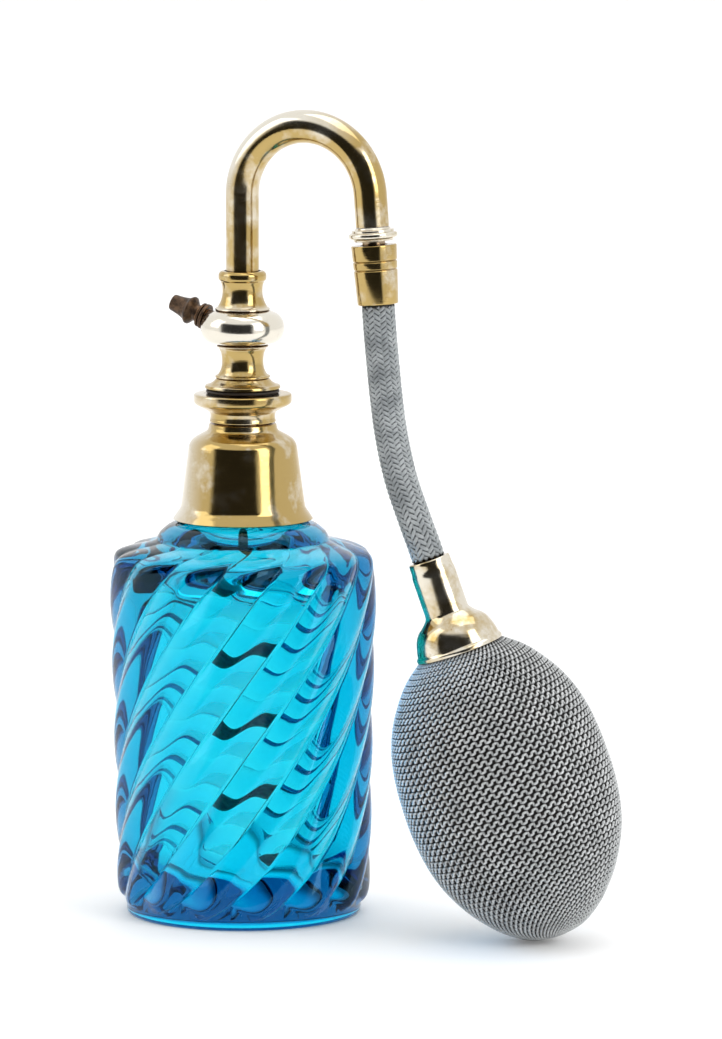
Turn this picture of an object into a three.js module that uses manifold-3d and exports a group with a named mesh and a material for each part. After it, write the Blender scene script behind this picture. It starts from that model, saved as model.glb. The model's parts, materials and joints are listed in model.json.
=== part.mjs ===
// Bulb atomizer perfume bottle: a swirled glass bottle, a brass collar and head with a gooseneck, and a netted
// rubber bulb on a braided hose. Millimetres, +Z up, origin at the centre of the bottle's underside.
// The gooseneck reaches towards +X and the nozzle sprays towards -X.
import * as THREE from "three";
import { mergeVertices } from "three/addons/utils/BufferGeometryUtils.js";
import Module from "manifold-3d";

const wasm = await Module();
wasm.setup();

// ---- Driving dimensions ----

const seat = 0.15; // gap between faces that rest on each other
const clearance = 0.3; // gap between a piece and what it passes through or ends against

// Glass bottle
const bodyRadius = 26.8; // over the lobes at the shoulder
const footRadius = 23.6;
const footHeight = 3.5;
const shoulderHeight = 75.6; // where the lobes run in to the ledge
const ledgeMargin = 3; // of the ledge beyond the collar's rim
const ledgeHeight = 3.3;
const lobes = 14;
const lobeDepth = 1.5;
const twistPerMm = THREE.MathUtils.degToRad(1.8); // along the outside of the glass
const wall = 6.2;
const floorThickness = 8.5;
const neckRadius = 9.2;
const neckBore = 6.8;
const neckHeight = 14.7;

// Collar, bush and seals
const collarFlare = 4.8; // of the collar's rim beyond the neck
const collarHeight = 19.4;
const collarWall = 0.7;
const collarMouth = 5.9; // hole in the collar's crown
const gasketThickness = 0.9;
const bushWaist = 6.5;
const discRadius = 9.8;
const discThickness = 2.2;
const spigotRadius = 4.5;
const spigotLength = 5;
const washerRadius = 7.3;
const washerThickness = 0.6;

// Head and gooseneck
const headFoot = 7.6;
const headWaist = 4.2;
const chamberRadius = 8.3;
const chamberHeight = 12.1; // of the chamber's widest line above the head's foot
const headHeight = 23.6;
const socketRing = 4.8;
const socketDepth = 4.5;
const airway = 2.3;
const gooseneckRadius = 3.3;
const gooseneckBore = 2.3;
const archRadius = 14.05;
const risingLeg = 15.2; // from the head's top to where the arch springs
const fallingLeg = 6.4;
const splay = THREE.MathUtils.degToRad(4.5); // the falling leg leans outwards

// Dip tube and spray
const tubeRadius = 1;
const tubeBore = 0.5;
const tubeEndGap = 3; // above the glass floor
const jetRadius = 0.8;
const jetBore = 0.4;
const nozzleRise = THREE.MathUtils.degToRad(20);
const nozzleDrop = 1.1; // of the nozzle's line below the chamber's widest line, at the axis
const nozzleReach = 9.2; // from the axis to the seat's outer face
const nozzleBarrel = 1.7;
const nozzleLength = 6.3;
const nozzleFlare = 2.85;
const nozzleMouth = 1.7;

// Hose
const nippleBead = 4.8;
const nippleShank = 2.3;
const nippleBore = 1.3;
const nippleLength = 12;
const hoseFerruleRadius = 4.5;
const hoseFerruleLength = 11.8;
const hoseRadius = 3.25;
const braidThickness = 0.55;
const hoseBore = 1.3;

// Bulb, measured along its own axis from the top of its ferrule
const bulbPlace = new THREE.Vector3(46, -11.37, 75.47);
const bulbLean = THREE.MathUtils.degToRad(19.2);
const bulbHeading = THREE.MathUtils.degToRad(17.4);
const bulbFerruleLength = 18.9;
const bulbFerruleNeck = 4.4;
const bulbFerruleRim = 8.75;
const bulbRadius = 21.1;
const bulbLength = 59.3;
const netThickness = 0.8;
const rubberThickness = 2;
const valveBarrel = 3.9;
const outletBall = 2.2;
const inletBarrel = 3.2;
const inletBall = 1.5;
const inletLength = 7;

// ---- Places worked out from them ----

const collarRim = neckRadius + collarFlare;
const ledgeRadius = collarRim + ledgeMargin;
const ledgeTop = shoulderHeight + ledgeHeight;
const neckTop = ledgeTop + neckHeight;
const collarBottom = ledgeTop + 0.5;
const collarTop = collarBottom + collarHeight;
const bushFlange = neckRadius - 1.6;
const flangeBottom = neckTop + gasketThickness + 2 * seat;
const flangeTop = collarTop - 2.6;
const bushShoulder = collarTop + clearance;
const discTop = bushShoulder + 5.7;
const washerBottom = discTop + seat;
const headBottom = washerBottom + washerThickness + seat;
const headTop = headBottom + headHeight;
const springLine = headTop + risingLeg;
const nozzleOrigin = new THREE.Vector3(0, 0, headBottom + chamberHeight - nozzleDrop);
const boreOfBush = spigotRadius + clearance;

// ---- Finishes ----

const finishes = {
  glass: { color: 0x17b8dc, roughness: 0.06, metalness: 0, transparent: true, opacity: 0.5 },
  brass: { color: 0xd2b56a, roughness: 0.22, metalness: 1 },
  bronze: { color: 0x4a3626, roughness: 0.45, metalness: 1 },
  plaster: { color: 0xcfc6b0, roughness: 0.9, metalness: 0 },
  cork: { color: 0xa9794c, roughness: 0.9, metalness: 0 },
  leather: { color: 0x2b211b, roughness: 0.7, metalness: 0 },
  rubber: { color: 0x241d1a, roughness: 0.75, metalness: 0 },
  braid: { color: 0x9aa0a4, roughness: 0.8, metalness: 0 },
  net: { color: 0xaeb3b8, roughness: 0.85, metalness: 0 },
  steel: { color: 0xb9bcc0, roughness: 0.2, metalness: 1 },
};

// ---- Helpers ----

const at = (radius, height) => new THREE.Vector2(radius, height);

// A smooth line through a few points.
function smooth(points, steps) {
  return new THREE.SplineCurve(points).getPoints(steps);
}

// A quarter round from one point to another, leaving along the radius when flatFirst is true.
function rounded(from, to, steps, flatFirst) {
  const corner = flatFirst ? at(to.x, from.y) : at(from.x, to.y);
  return new THREE.QuadraticBezierCurve(from, corner, to).getPoints(steps);
}

// The same line moved towards the axis.
function inwards(points, distance) {
  return points.map((p) => at(p.x - distance, p.y));
}

// A piece turned about Z. An outline that doesn't end on the axis is closed on itself.
function turned(outline, segments) {
  const endsOnAxis = outline[0].x === 0 && outline[outline.length - 1].x === 0;
  const loop = endsOnAxis ? [...outline] : [...outline, outline[0].clone()];
  if (THREE.ShapeUtils.area(outline) < 0) loop.reverse();
  return new THREE.LatheGeometry(loop, segments).rotateX(Math.PI / 2);
}

// A plain turned ring.
function ring(inner, outer, bottom, top, segments) {
  return turned([at(inner, bottom), at(outer, bottom), at(outer, top), at(inner, top)], segments);
}

// A pipe of the given radius and bore along a curve.
function pipe(path, radius, bore, sides, steps) {
  const section = new THREE.Shape(circlePoints(radius, sides));
  section.holes.push(new THREE.Path(circlePoints(bore, sides).reverse()));
  return new THREE.ExtrudeGeometry(section, { steps, bevelEnabled: false, extrudePath: path });
}

function circlePoints(radius, sides) {
  return Array.from({ length: sides }, (_, i) => {
    const angle = (i / sides) * 2 * Math.PI;
    return at(radius * Math.cos(angle), radius * Math.sin(angle));
  });
}

function solidOf(geometry) {
  const bare = geometry.clone();
  bare.deleteAttribute("normal");
  bare.deleteAttribute("uv");
  const merged = mergeVertices(bare, 1e-3);
  return new wasm.Manifold(
    new wasm.Mesh({
      numProp: 3,
      vertProperties: merged.attributes.position.array,
      triVerts: new Uint32Array(merged.index.array),
    }),
  );
}

function cut(geometry, tool) {
  const mesh = solidOf(geometry).subtract(solidOf(tool)).getMesh();
  return new THREE.BufferGeometry()
    .setAttribute("position", new THREE.BufferAttribute(mesh.vertProperties, 3))
    .setIndex(new THREE.BufferAttribute(mesh.triVerts, 1));
}

const atomizer = new THREE.Group();

function add(name, geometry, finish, parent = atomizer) {
  const mesh = new THREE.Mesh(geometry, new THREE.MeshStandardMaterial(finishes[finish]));
  mesh.name = name;
  parent.add(mesh);
  return mesh;
}

// ---- Glass bottle ----

// Rows of the glass from the underside's centre, up the outside, over the lip and down the inside.
// depth is how far the grooves cut in, and lift raises a row at the grooves, which rounds the lobes' ends.
function bottleRows() {
  const row = (radius, height, depth = 0, lift = 0) => ({ radius, height, depth, lift });
  const cavity = bodyRadius - wall;
  const cavityTop = shoulderHeight - 12;
  return [
    row(0, 0),
    row(footRadius - 1.1, 0),
    row(footRadius - 0.1, 0.9),
    row(footRadius, footHeight - 0.3),
    row(footRadius + 0.8, footHeight + 0.3, 0.6, 3),
    row(bodyRadius - 1.5, footHeight + 2, lobeDepth, 2.4),
    row(bodyRadius - 1, footHeight + 8, lobeDepth, 0.6),
    row(bodyRadius - 0.8, footHeight + 22, lobeDepth),
    row(bodyRadius - 0.6, footHeight + 40, lobeDepth),
    row(bodyRadius - 0.1, shoulderHeight - 16, lobeDepth),
    row(bodyRadius, shoulderHeight - 10, lobeDepth),
    row(bodyRadius - 0.3, shoulderHeight - 5, lobeDepth),
    row(bodyRadius - 1.2, shoulderHeight - 3, lobeDepth),
    row(bodyRadius - 4, shoulderHeight - 1.8, lobeDepth * 0.8),
    row(bodyRadius - 7, shoulderHeight - 0.8, lobeDepth * 0.5),
    row(ledgeRadius, shoulderHeight),
    row(ledgeRadius - 0.6, shoulderHeight + 1.4),
    row(ledgeRadius - 2.2, ledgeTop - 0.5),
    row(ledgeRadius - 3.4, ledgeTop),
    row(neckRadius, ledgeTop),
    row(neckRadius, neckTop - 0.5),
    row(neckRadius - 0.5, neckTop),
    row(neckBore + 0.4, neckTop),
    row(neckBore, neckTop - 0.5),
    row(neckBore, shoulderHeight + 1.5),
    row(neckBore + 1.4, shoulderHeight - 1.2),
    row(cavity - 5, cavityTop + 7.5),
    row(cavity - 1.2, cavityTop + 4),
    row(cavity, cavityTop),
    row(cavity - 0.6, floorThickness + 6),
    row(cavity - 2, floorThickness + 1.6),
    row(cavity - 5.5, floorThickness),
    row(0, floorThickness),
  ];
}

// A turned blank whose columns follow the twist, drawn in at the grooves between the lobes.
function glassBottle() {
  const columnsPerLobe = 4;
  const rows = bottleRows();
  const blank = new THREE.LatheGeometry(rows.map((r) => at(r.radius, r.height)), lobes * columnsPerLobe);
  const position = blank.getAttribute("position");
  let twist = 0;
  const twists = rows.map((r, j) => {
    const outside = r.depth > 0 || (j > 0 && rows[j - 1].depth > 0);
    if (outside) twist += twistPerMm * Math.hypot(r.radius - rows[j - 1].radius, r.height - rows[j - 1].height);
    return twist;
  });
  for (let v = 0; v < position.count; v++) {
    const j = v % rows.length;
    const column = Math.floor(v / rows.length);
    const acrossLobe = ((column % columnsPerLobe) / columnsPerLobe) * 2 - 1;
    const groove = acrossLobe * acrossLobe;
    const radius = rows[j].radius - rows[j].depth * groove;
    const angle = (column / (lobes * columnsPerLobe)) * 2 * Math.PI + twists[j];
    position.setXYZ(v, radius * Math.cos(angle), radius * Math.sin(angle), rows[j].height + rows[j].lift * groove);
  }
  return blank;
}

// ---- Collar, its cement, bush and seals ----

// The outside of the collar from its rim to the edge of its crown.
function collarOutside() {
  const skirt = smooth(
    [at(collarRim, 0), at(collarRim - 1.4, 2.4), at(collarRim - 1.9, 4.8), at(collarRim - 3.1, 14.6)],
    7,
  );
  const crown = rounded(at(collarRim - 3.1, 14.6), at(bushWaist + 0.3, collarHeight - 0.6), 4, false);
  return [...skirt, ...crown.slice(1)];
}

function bellCollar() {
  const outside = collarOutside();
  const inside = outside.slice(0, -1).map((p) => at(p.x - collarWall, Math.max(p.y - collarWall, 0)));
  return turned(
    [...outside, at(bushWaist + 0.2, collarHeight), at(collarMouth, collarHeight),
      at(collarMouth, collarHeight - 2), ...inside.reverse()],
    28,
  );
}

function collarCement() {
  const base = collarBottom - ledgeTop;
  const outer = (height) => collarRim - collarWall - clearance - 1.9 - 0.12 * height;
  return turned(
    [at(neckRadius + seat, 0.2), at(outer(0), 0.2 + base), at(outer(11), 11), at(neckRadius + seat, 12)],
    32,
  );
}

// The flange under the crown, the stem through it, then the waist and the disc that carries the head.
function threadedBush() {
  const waistTop = discTop - bushShoulder - discThickness;
  const local = (height) => height - bushShoulder;
  const stem = collarMouth - clearance;
  return turned(
    [
      at(boreOfBush, local(flangeBottom)),
      at(bushFlange, local(flangeBottom)),
      at(bushFlange, local(flangeTop) - seat),
      at(stem, local(flangeTop) - seat),
      at(stem, 0),
      at(bushWaist + 0.1, 0),
      at(bushWaist, 0.9),
      at(bushWaist + 0.7, 2.2),
      at(bushWaist + 1.6, 2.8),
      at(discRadius - 0.3, waistTop),
      at(discRadius, waistTop + 0.4),
      at(discRadius, waistTop + discThickness - 0.4),
      at(discRadius - 0.4, waistTop + discThickness),
      at(boreOfBush, waistTop + discThickness),
    ],
    32,
  );
}

// ---- Head ----

// The turned outside from the foot to the ring round the gooseneck's socket.
function headOutside() {
  return [
    at(headFoot, 0.4),
    ...smooth([at(headFoot - 0.4, 0.9), at(headFoot - 2.2, 2.4), at(headWaist + 0.2, 3.6), at(headWaist, 5.8),
      at(headWaist + 0.6, 7.6), at(headWaist + 2, 8.7)], 9),
    ...smooth([at(chamberRadius - 1.2, 9.6), at(chamberRadius, chamberHeight), at(chamberRadius - 1.2, 14.9),
      at(chamberRadius - 2.6, 16.5)], 7),
    ...smooth([at(socketRing, 17.6), at(socketRing - 1, 19.6), at(socketRing - 0.7, 21.4)], 4),
    at(socketRing, 22.2),
    at(socketRing, 23),
    at(socketRing - 0.5, headHeight),
  ];
}

function headBody() {
  const tubeHole = tubeRadius + clearance;
  const socket = gooseneckRadius + clearance;
  const spigotEnd = washerBottom - headBottom - spigotLength;
  const turnedHead = turned(
    [
      at(tubeHole, spigotEnd),
      at(spigotRadius - 0.4, spigotEnd),
      at(spigotRadius, spigotEnd + 0.5),
      at(spigotRadius, 0),
      at(headFoot - 0.2, 0),
      ...headOutside(),
      at(socket, headHeight),
      at(socket, headHeight - socketDepth),
      at(airway, headHeight - socketDepth),
      at(airway, chamberHeight + 4),
      at(chamberRadius - 2.6, chamberHeight + 1.2),
      at(chamberRadius - 2.6, chamberHeight - 2.4),
      at(tubeHole, chamberHeight - 4.6),
    ],
    24,
  );
  const port = new THREE.CylinderGeometry(nozzleBarrel + clearance, nozzleBarrel + clearance, nozzleReach, 16)
    .rotateX(Math.PI / 2)
    .translate(0, 0, nozzleReach / 2 + 2)
    .rotateY(nozzleRise - Math.PI / 2)
    .translate(0, 0, nozzleOrigin.z - headBottom);
  return cut(turnedHead, port);
}

const fallingDirection = new THREE.Vector3(Math.sin(splay), 0, -Math.cos(splay));

// The gooseneck's centre line: up the rising leg, over the arch and down the splayed leg.
function gooseneckPath() {
  const path = new THREE.CurvePath();
  const foot = new THREE.Vector3(0, 0, headTop - socketDepth + clearance);
  const spring = new THREE.Vector3(0, 0, springLine);
  path.add(new THREE.LineCurve3(foot, spring));
  path.add(new GooseneckArch());
  const turn = archEnd();
  path.add(new THREE.LineCurve3(turn, turn.clone().addScaledVector(fallingDirection, fallingLeg)));
  return path;
}

function archPoint(angle) {
  const x = archRadius - archRadius * Math.cos(angle);
  return new THREE.Vector3(x, 0, springLine + archRadius * Math.sin(angle));
}

function archEnd() {
  return archPoint(Math.PI - splay);
}

class GooseneckArch extends THREE.Curve {
  getPoint(t) {
    return archPoint(t * (Math.PI - splay));
  }
}

// ---- Nozzle, along its own +Z from the head's axis ----

const nozzleAxis = new THREE.Group();
nozzleAxis.position.copy(nozzleOrigin);
nozzleAxis.rotation.y = nozzleRise - Math.PI / 2;

// The flange sits outside the chamber, and the barrel reaches out of it to carry the tip.
function nozzleSeat() {
  const bore = jetRadius + clearance;
  const root = nozzleReach - 2.2;
  return turned(
    [at(bore, root), at(nozzleBarrel, root), at(nozzleBarrel, nozzleReach - 0.6), at(2.6, nozzleReach - 0.6),
      at(2.6, nozzleReach), at(nozzleBarrel - 0.4, nozzleReach), at(nozzleBarrel - 0.4, nozzleReach + 3),
      at(bore, nozzleReach + 3)],
    20,
  );
}

function nozzleTip() {
  const base = nozzleReach + 1;
  const orifice = jetBore;
  const barrelHole = nozzleBarrel - 0.4 + 0.2;
  return turned(
    [
      at(barrelHole, base),
      at(nozzleMouth, base),
      at(nozzleMouth, base + 0.8),
      at(nozzleFlare, base + 1.8),
      at(nozzleFlare, base + 2.2),
      ...smooth([at(nozzleFlare - 0.5, base + 2.9), at(nozzleMouth + 0.2, base + 4.6), at(nozzleMouth, base + 5.6)], 5),
      at(nozzleMouth - 0.3, base + nozzleLength),
      at(orifice + 0.3, base + nozzleLength - 0.2),
      at(orifice, base + nozzleLength - 0.6),
      at(orifice, base + nozzleLength - 1.2),
      at(barrelHole, base + nozzleLength - 2.2),
    ],
    24,
  );
}

// The fine tube that bends from above the dip tube into the nozzle.
function jetTube(bottom) {
  const direction = new THREE.Vector3(-Math.cos(nozzleRise), 0, Math.sin(nozzleRise));
  const end = nozzleOrigin.clone().addScaledVector(direction, nozzleReach + 3.4);
  const path = new THREE.CurvePath();
  const bendStart = new THREE.Vector3(0, 0, bottom + 0.6);
  const bendEnd = nozzleOrigin.clone().addScaledVector(direction, 2.5);
  path.add(new THREE.LineCurve3(new THREE.Vector3(0, 0, bottom), bendStart));
  path.add(new THREE.QuadraticBezierCurve3(bendStart, nozzleOrigin.clone(), bendEnd));
  path.add(new THREE.LineCurve3(bendEnd, end));
  return pipe(path, jetRadius, jetBore, 8, 14);
}

// ---- Hose end of the gooseneck, along its own -Z ----

const gooseneckEnd = archEnd().addScaledVector(fallingDirection, fallingLeg);
const hoseEndAxis = new THREE.Group();
hoseEndAxis.position.copy(gooseneckEnd);
hoseEndAxis.rotation.y = -splay;

function hoseNipple() {
  const bead = [
    at(gooseneckRadius, -seat),
    at(nippleBead - 0.3, -0.5),
    at(nippleBead, -1.2),
    at(nippleBead, -2),
    at(nippleBead - 0.4, -2.6),
  ];
  return turned(
    [at(nippleBore, -seat), ...bead, at(nippleShank, -2.8), at(nippleShank, -nippleLength), at(nippleBore, -nippleLength)],
    24,
  );
}

const ferruleTop = -3.6;

// Slightly tapered, with two score lines.
function hoseFerrule() {
  const radiusAt = (down) => hoseFerruleRadius - 0.5 * (down / hoseFerruleLength);
  const score = (down) => [
    at(radiusAt(down), ferruleTop - down + 0.25),
    at(radiusAt(down) - 0.25, ferruleTop - down),
    at(radiusAt(down), ferruleTop - down - 0.25),
  ];
  return turned(
    [
      at(nippleShank + clearance, ferruleTop),
      at(radiusAt(0) - 0.2, ferruleTop),
      at(radiusAt(0), ferruleTop - 0.3),
      ...score(3.7),
      ...score(5.3),
      at(radiusAt(hoseFerruleLength), ferruleTop - hoseFerruleLength + 0.3),
      at(radiusAt(hoseFerruleLength) - 0.2, ferruleTop - hoseFerruleLength),
      at(nippleShank + clearance, ferruleTop - hoseFerruleLength),
    ],
    24,
  );
}

// ---- Hose: its route, chosen by hand from the ferrule to the bulb ----

const hoseRoute = [
  [29.8, 0, 123.55],
  [30.05, -0.02, 120.2],
  [30.4, -0.15, 116.9],
  [30.9, -0.5, 113.6],
  [31.55, -1.15, 110.3],
  [32.35, -2.1, 107],
  [33.35, -3.3, 103.7],
  [34.5, -4.7, 100.4],
  [35.85, -6.2, 97.1],
  [37.35, -7.7, 93.8],
  [39, -9.15, 90.5],
  [40.75, -10.4, 87.4],
  [42.4, -11.3, 84.4],
  [43.75, -11.75, 81.6],
  [44.8, -11.73, 79.1],
  [45.88, -11.41, 75.83],
].map(([x, y, z]) => new THREE.Vector3(x, y, z));

// ---- Bulb, along its own -Z from the top of its ferrule ----

const bulbAxis = new THREE.Group();
bulbAxis.position.copy(bulbPlace);
bulbAxis.rotation.set(0, -bulbLean, bulbHeading, "ZYX");

// The outside of the net from the ferrule's rim to the hole in its tail.
function bulbOutside(steps) {
  const top = -bulbFerruleLength - clearance;
  const down = (share) => top - share * bulbLength;
  return smooth(
    [
      at(bulbFerruleRim, top),
      at(bulbRadius * 0.72, down(0.11)),
      at(bulbRadius * 0.93, down(0.26)),
      at(bulbRadius, down(0.46)),
      at(bulbRadius * 0.94, down(0.67)),
      at(bulbRadius * 0.69, down(0.86)),
      at(bulbRadius * 0.36, down(0.97)),
      at(inletBarrel - 1, down(1)),
    ],
    steps,
  );
}

// A line moved square to itself, inwards, by the given distance.
function shrunk(line, distance) {
  return line.map((p, i) => {
    const before = line[Math.max(i - 1, 0)];
    const after = line[Math.min(i + 1, line.length - 1)];
    const along = after.clone().sub(before).normalize();
    return at(p.x + along.y * distance, p.y - along.x * distance);
  });
}

function bulbNet() {
  const outside = bulbOutside(12);
  return turned([...outside, ...shrunk(outside, netThickness).reverse()], 22);
}

function bulbRubber() {
  const line = bulbOutside(12);
  const outer = shrunk(line, netThickness + clearance).slice(0, -1);
  const inner = shrunk(line, netThickness + clearance + rubberThickness).slice(1, -2);
  const neckOuter = valveBarrel + clearance + 1.2;
  const neckTopHeight = -bulbFerruleLength + 4.2;
  const neck = [at(valveBarrel + clearance, neckTopHeight), at(neckOuter, neckTopHeight),
    at(bulbFerruleRim - 1.8, -bulbFerruleLength)];
  const tail = at(inletBarrel + clearance, outer[outer.length - 1].y);
  const throat = at(valveBarrel + clearance, -bulbFerruleLength - 3.4);
  const tailInside = at(inletBarrel + clearance, inner[inner.length - 1].y);
  return turned([...neck, ...outer, tail, tailInside, ...inner.reverse(), throat], 20);
}

function bulbFerrule() {
  const bore = bulbFerruleNeck - 1.3;
  const cup = smooth(
    [at(bulbFerruleNeck, -11), at(bulbFerruleNeck + 1.1, -12.2), at(bulbFerruleRim - 1.2, -14.2),
      at(bulbFerruleRim - 0.4, -16.6), at(bulbFerruleRim, -bulbFerruleLength)],
    7,
  );
  const inside = inwards(cup.slice(2), 0.7).reverse();
  return turned(
    [at(bore, 0), at(bulbFerruleNeck - 0.4, 0), at(bulbFerruleNeck - 0.2, -2.2), at(bulbFerruleNeck, -3),
      ...cup, ...inside, at(bulbFerruleNeck - 0.2, inside[inside.length - 1].y), at(bore, -11.2)],
    24,
  );
}

const valveTop = -13.4; // where the valve chamber of the nipple starts
const valveBottom = -bulbFerruleLength - 3.6;

// The hose's tail pipe above, and the barrel with the valve chamber below.
function bulbNipple() {
  const pipeRadius = bulbFerruleNeck - 1.3 - clearance;
  const chamber = outletBall + 0.5;
  return turned(
    [
      at(nippleBore, -1.5),
      at(pipeRadius, -1.5),
      at(pipeRadius, -12),
      at(valveBarrel, valveTop + 0.6),
      at(valveBarrel, valveBottom),
      at(chamber, valveBottom),
      at(chamber, valveTop - 1.4),
      at(nippleBore, valveTop - 0.2),
    ],
    20,
  );
}

// A ring with a cone, pressed in below the ball that rests on it.
function valveSeat(outer, ball, bottom, top) {
  const hole = ball * 0.6;
  return turned([at(hole, bottom), at(outer, bottom), at(outer, top), at(ball * 0.85, top), at(hole, top - ball * 0.3)], 16);
}

// The height of a ball's centre when it rests on the cone of its seat.
const ballHeight = (top, ball) => top + ball * 0.62;

const outletSeatTop = valveBottom + 2.4;
const inletBottom = -bulbFerruleLength - bulbLength + 1.5;
const inletSeatTop = inletBottom + 1.6;

function inletValveBody() {
  const chamber = inletBall + 0.4;
  return turned(
    [at(inletBall * 0.5, inletBottom), at(inletBarrel, inletBottom), at(inletBarrel, inletBottom + inletLength),
      at(chamber, inletBottom + inletLength), at(chamber, inletSeatTop), at(inletBall * 0.6, inletSeatTop - 0.6)],
    16,
  );
}

// ---- The assembly ----

add("glass_bottle", glassBottle(), "glass");
add("collar_cement", collarCement(), "plaster").position.z = ledgeTop;
add("neck_gasket", ring(neckBore + seat, neckRadius - 0.2, 0, gasketThickness, 28), "cork").position.z = neckTop + seat;
add("bell_collar", bellCollar(), "brass").position.z = collarBottom;
add("threaded_bush", threadedBush(), "brass").position.z = bushShoulder;
add("sealing_washer", ring(boreOfBush, washerRadius, 0, washerThickness, 28), "leather").position.z = washerBottom;

add("head_body", headBody(), "brass").position.z = headBottom;
add("gooseneck_tube", pipe(gooseneckPath(), gooseneckRadius, gooseneckBore, 12, 22), "brass");

const tubeBottom = floorThickness + tubeEndGap;
const tubeTop = nozzleOrigin.z - 3;
add("dip_tube", ring(tubeBore, tubeRadius, tubeBottom, tubeTop, 12), "bronze");
add("jet_tube", jetTube(tubeTop + clearance), "steel");

atomizer.add(nozzleAxis);
add("nozzle_seat", nozzleSeat(), "bronze", nozzleAxis);
const washerStart = nozzleReach + seat;
add("nozzle_washer", ring(nozzleBarrel - 0.2, 2.5, washerStart, washerStart + 0.7, 20), "bronze", nozzleAxis);
add("nozzle_tip", nozzleTip(), "bronze", nozzleAxis);

atomizer.add(hoseEndAxis);
add("hose_nipple", hoseNipple(), "brass", hoseEndAxis);
add("hose_ferrule", hoseFerrule(), "brass", hoseEndAxis);

const hosePath = new THREE.CatmullRomCurve3(hoseRoute);
add("hose_braid", pipe(hosePath, hoseRadius, hoseRadius - braidThickness, 12, 16), "braid");
add("hose_rubber", pipe(hosePath, hoseRadius - braidThickness - clearance, hoseBore, 8, 16), "rubber");

atomizer.add(bulbAxis);
add("bulb_ferrule", bulbFerrule(), "brass", bulbAxis);
add("bulb_nipple", bulbNipple(), "brass", bulbAxis);
const outletSeatRadius = outletBall + 0.5 - seat;
add("outlet_valve_seat", valveSeat(outletSeatRadius, outletBall, valveBottom, outletSeatTop), "brass", bulbAxis);
add("outlet_valve_ball", new THREE.SphereGeometry(outletBall, 14, 10), "steel", bulbAxis).position.z =
  ballHeight(outletSeatTop, outletBall);
add("bulb_rubber", bulbRubber(), "rubber", bulbAxis);
add("bulb_net", bulbNet(), "net", bulbAxis);
add("inlet_valve_body", inletValveBody(), "brass", bulbAxis);
const capTop = inletBottom + inletLength - 0.1;
const capRadius = inletBall + 0.4 - seat;
add("inlet_valve_cap", ring(inletBall * 0.5, capRadius, capTop - 0.9, capTop, 16), "brass", bulbAxis);
add("inlet_valve_ball", new THREE.SphereGeometry(inletBall, 12, 8), "steel", bulbAxis).position.z =
  ballHeight(inletSeatTop, inletBall);

export default atomizer;
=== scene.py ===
import json
import math

import bmesh
import bpy
import numpy as np
from mathutils import Matrix, Vector


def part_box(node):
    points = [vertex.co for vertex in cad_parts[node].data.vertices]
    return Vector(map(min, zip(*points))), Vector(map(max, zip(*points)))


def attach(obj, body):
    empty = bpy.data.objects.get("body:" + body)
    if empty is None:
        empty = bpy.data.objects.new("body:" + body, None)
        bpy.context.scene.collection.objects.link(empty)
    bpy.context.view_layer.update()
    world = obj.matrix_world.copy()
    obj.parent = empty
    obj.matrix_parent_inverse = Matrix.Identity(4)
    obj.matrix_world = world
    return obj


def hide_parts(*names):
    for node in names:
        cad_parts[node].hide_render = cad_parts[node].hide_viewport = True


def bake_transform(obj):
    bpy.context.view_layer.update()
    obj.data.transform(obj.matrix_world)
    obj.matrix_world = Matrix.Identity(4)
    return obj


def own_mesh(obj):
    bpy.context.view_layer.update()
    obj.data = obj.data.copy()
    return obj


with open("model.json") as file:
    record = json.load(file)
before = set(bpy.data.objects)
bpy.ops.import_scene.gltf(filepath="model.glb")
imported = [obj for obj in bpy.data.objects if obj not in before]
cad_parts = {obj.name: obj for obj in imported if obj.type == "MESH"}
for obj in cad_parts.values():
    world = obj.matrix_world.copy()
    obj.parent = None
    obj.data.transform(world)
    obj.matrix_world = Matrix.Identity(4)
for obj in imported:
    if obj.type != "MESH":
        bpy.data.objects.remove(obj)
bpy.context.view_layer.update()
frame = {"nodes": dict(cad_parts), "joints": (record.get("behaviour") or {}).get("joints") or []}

# A vintage bulb atomizer: swirled glass bottle, gilt brass collar, head and gooseneck,
# braided hose and netted bulb.
# The script works in metres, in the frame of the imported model. Outlines are written in
# millimetres and scaled by MM.
MM = 0.001
NODES = frame["nodes"]
JOINTS = {joint["name"]: joint for joint in frame["joints"]}


def top_of(node):
    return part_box(node)[1].z / MM


def bottom_of(node):
    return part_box(node)[0].z / MM


def radius_of(node):
    """Half the width across Y of a node that stands on the bottle's axis, in millimetres."""
    low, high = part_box(node)
    return (high.y - low.y) / 2 / MM


def axis_of(joint, origin=None):
    """A frame with its Z along a joint's axis and its origin on the joint, or at another point."""
    record = JOINTS[joint]
    turn = Vector(record["axis"]).to_track_quat("Z", "Y").to_matrix().to_4x4()
    return Matrix.Translation(origin or Vector(record["pos_m"])) @ turn


# ---- Camera ----

VIEW_AZIMUTH = math.radians(25)
VIEW_ELEVATION = math.radians(7.7)
VIEW_DISTANCE = 1.45
VIEW_HEIGHT = 0.2078  # height of the frame at the bottle
VIEW_ACROSS = 0.0236  # from the bottle's axis to the middle of the frame
VIEW_UP = 0.0793
SENSOR = 36


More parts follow.
